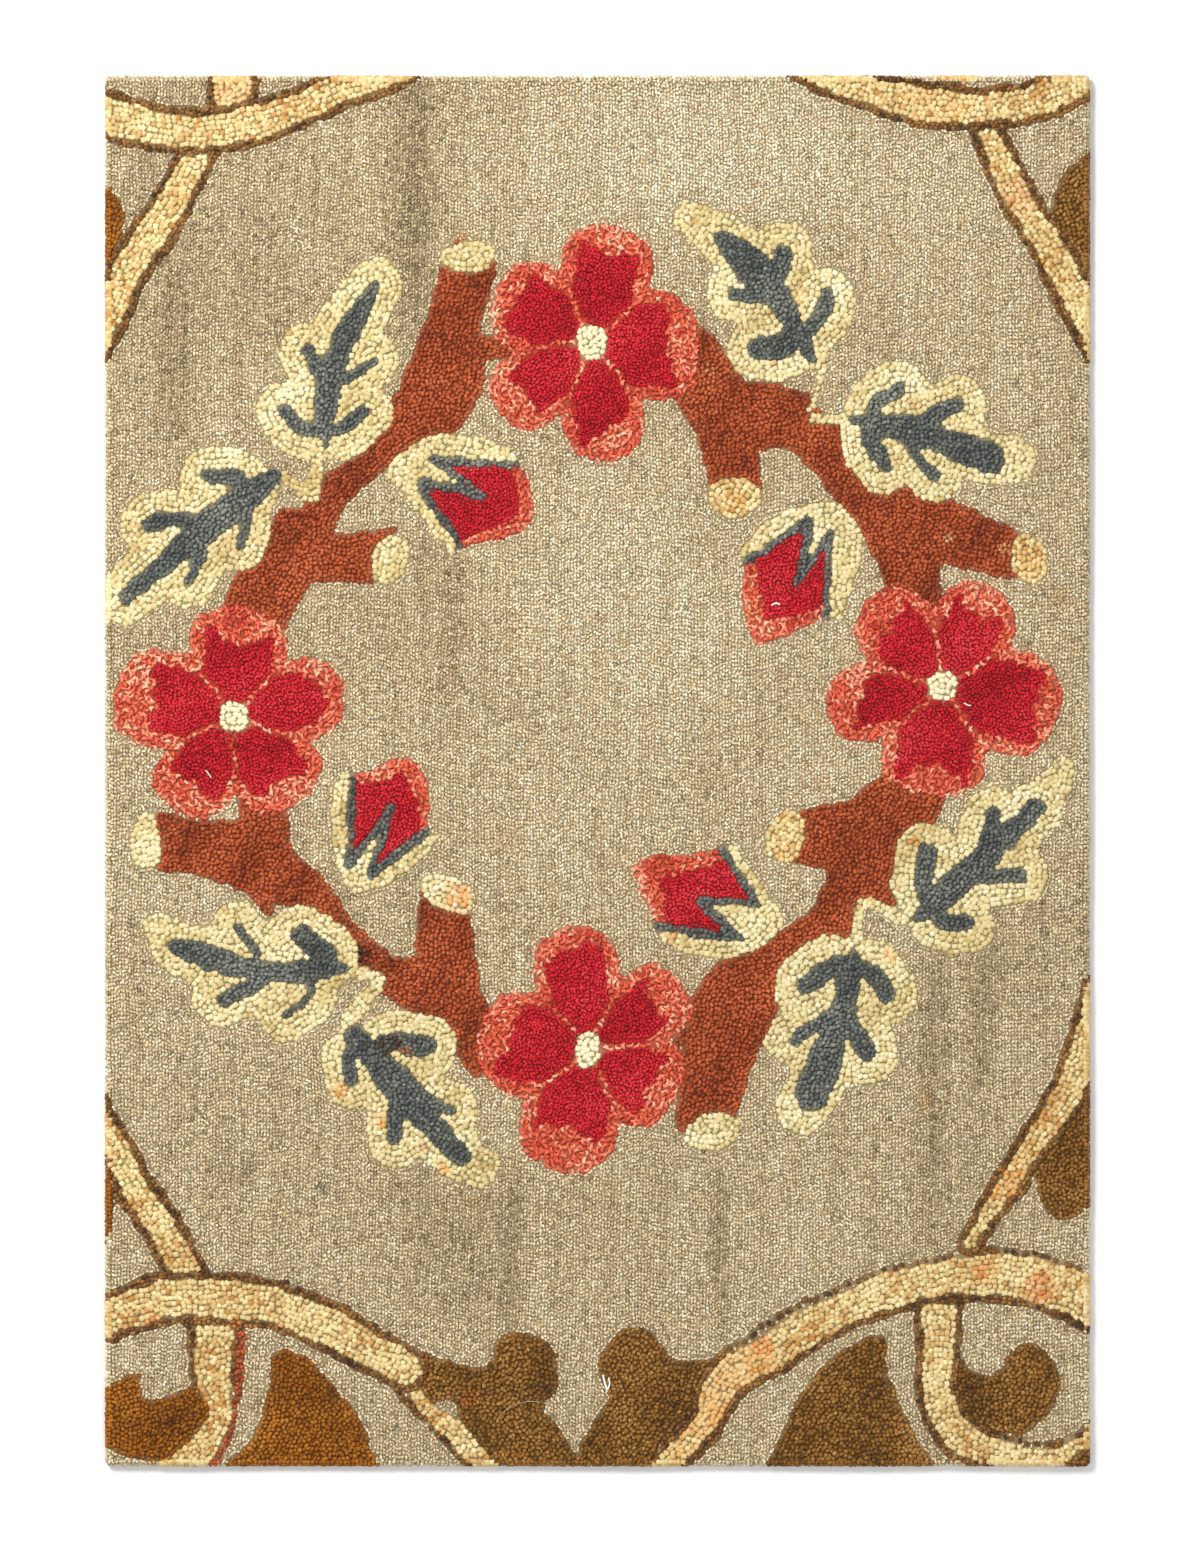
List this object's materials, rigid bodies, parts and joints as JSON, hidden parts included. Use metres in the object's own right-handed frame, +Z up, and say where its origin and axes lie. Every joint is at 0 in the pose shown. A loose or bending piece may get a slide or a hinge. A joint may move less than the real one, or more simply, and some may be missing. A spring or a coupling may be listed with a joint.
{
  "type": "hooked rug",
  "caption": "Rectangular hooked wool rug lying flat, low looped pile with a wreath of leaves, buds and five-petalled flowers and scrolls at its corners.",
  "frame": {"origin": "middle of the underside, on the surface that the rug lies on", "axes": "+X across the rug, +Y along its length, to the top of the picture, +Z up, out of the pile"},
  "size_m": [0.7023, 0.9913, 0.0092],
  "materials": {
    "ground_wool": "heathered beige wool strip, looped, matt",
    "cream_wool": "cream to pale gold wool strip, looped, matt",
    "coral_wool": "coral wool strip, loosely curled loops, matt",
    "red_wool": "red wool strip, fine dense loops, matt",
    "rust_wool": "rust brown wool strip, looped, matt",
    "slate_wool": "slate grey wool strip, looped, matt",
    "brown_wool": "brown and ochre wool strip, looped, matt",
    "foundation_cloth": "plain-weave jute foundation, hem turned under and sewn"
  },
  "bodies": {
    "root": {"hooked_rug": "ground_wool"}
  },
  "joints": []
}
